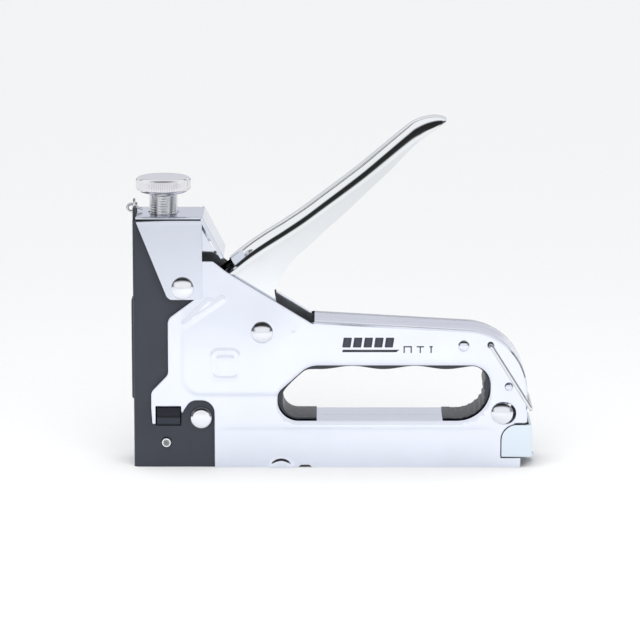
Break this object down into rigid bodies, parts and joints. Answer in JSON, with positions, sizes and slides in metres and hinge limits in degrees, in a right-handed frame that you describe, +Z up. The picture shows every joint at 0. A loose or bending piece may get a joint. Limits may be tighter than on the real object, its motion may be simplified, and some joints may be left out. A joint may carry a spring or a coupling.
{
  "type": "staple gun",
  "caption": "Hand staple gun with pressed metal shells, a squeeze lever, a spring tension knob, a lever lock wire and a pull-out staple magazine.",
  "frame": {"origin": "centre of the overall box on the surface that the gun stands on", "axes": "+X from the nose to the rear, +Z up from the foot, +Y to the far side, away from the viewer; the body is symmetric about Y = 0"},
  "size_m": [0.1629, 0.0344, 0.1401],
  "materials": {
    "chrome": "bright chrome plate over pressed steel",
    "dark_paint": "satin dark blue-grey paint",
    "black_plastic": "matte moulded plastic",
    "rubber": "black rubber",
    "spring_steel": "drawn spring wire",
    "raw_steel": "zinc-plated steel"
  },
  "bodies": {
    "frame": {"side_shell_near": "chrome", "side_shell_far": "chrome", "front_housing": "dark_paint", "cap_bracket": "chrome", "spring_guard": "chrome", "thread_bush": "raw_steel", "grip_liner": "black_plastic", "bumper_block": "rubber", "lever_rivet": "chrome", "rear_rivet": "chrome", "nose_rivet": "chrome", "grip_pin": "chrome", "rear_pin": "chrome", "bracket_rivet_near": "chrome", "bracket_rivet_far": "chrome", "roll_pin_near": "chrome", "roll_pin_far": "chrome", "magazine_channel": "raw_steel", "staple_strip": "spring_steel", "hook_spring": "spring_steel", "return_spring": "spring_steel", "main_spring": "spring_steel"},
    "lever": {"lever_handle": "chrome", "lever_arm": "raw_steel", "lever_bush_near": "raw_steel", "lever_bush_far": "raw_steel"},
    "hammer": {"hammer_block": "raw_steel", "striker_blade": "raw_steel"},
    "seat": {"spring_seat": "raw_steel"},
    "screw": {"tension_screw": "chrome", "tension_knob": "chrome"},
    "rail": {"pusher_rail": "raw_steel", "guide_rod": "raw_steel", "pull_cap": "chrome", "pusher_spring": "spring_steel", "latch_pin": "raw_steel"},
    "pusher": {"pusher": "raw_steel"},
    "latch": {"latch_tab": "chrome"},
    "bail": {"bail_wire": "chrome"}
  },
  "joints": [
    {"name": "lever_squeeze", "type": "hinge", "parent": "frame", "child": "lever", "pos_m": [-0.0278, 0, 0.055], "axis": [0, 1, 0], "range_deg": [0, 40], "stiffness_Nm_per_rad": 0.6, "springref_deg": -28.65},
    {"name": "hammer_lift", "type": "slide", "parent": "frame", "child": "hammer", "axis": [0, 0, 1], "range_m": [0, 0.0222], "deforming": ["main_spring"]},
    {"name": "seat_slide", "type": "slide", "parent": "frame", "child": "seat", "axis": [0, 0, 1], "range_m": [-0.005, 0]},
    {"name": "tension_turn", "type": "hinge", "parent": "seat", "child": "screw", "pos_m": [-0.067, 0, 0.1092], "axis": [0, 0, 1], "range_deg": [-1800, 0]},
    {"name": "magazine_slide", "type": "slide", "parent": "frame", "child": "rail", "axis": [1, 0, 0], "range_m": [0, 0.095]},
    {"name": "pusher_feed", "type": "slide", "parent": "rail", "child": "pusher", "axis": [1, 0, 0], "range_m": [0, 0.07], "stiffness_N_per_m": 20, "springref_m": -0.05, "deforming": ["pusher_spring"]},
    {"name": "latch_press", "type": "hinge", "parent": "rail", "child": "latch", "pos_m": [0.0764, 0, 0.0038], "axis": [0, 1, 0], "range_deg": [-8, 0]},
    {"name": "bail_swing", "type": "hinge", "parent": "frame", "child": "bail", "pos_m": [0.0629, 0, 0.0499], "axis": [0, 1, 0], "range_deg": [-95, 0]}
  ],
  "couplings": [
    {"joint": "hammer_lift", "follows": "lever_squeeze", "m_per_rad": 0.031393},
    {"joint": "tension_turn", "follows": "seat_slide", "rad_per_m": 6283.2}
  ]
}
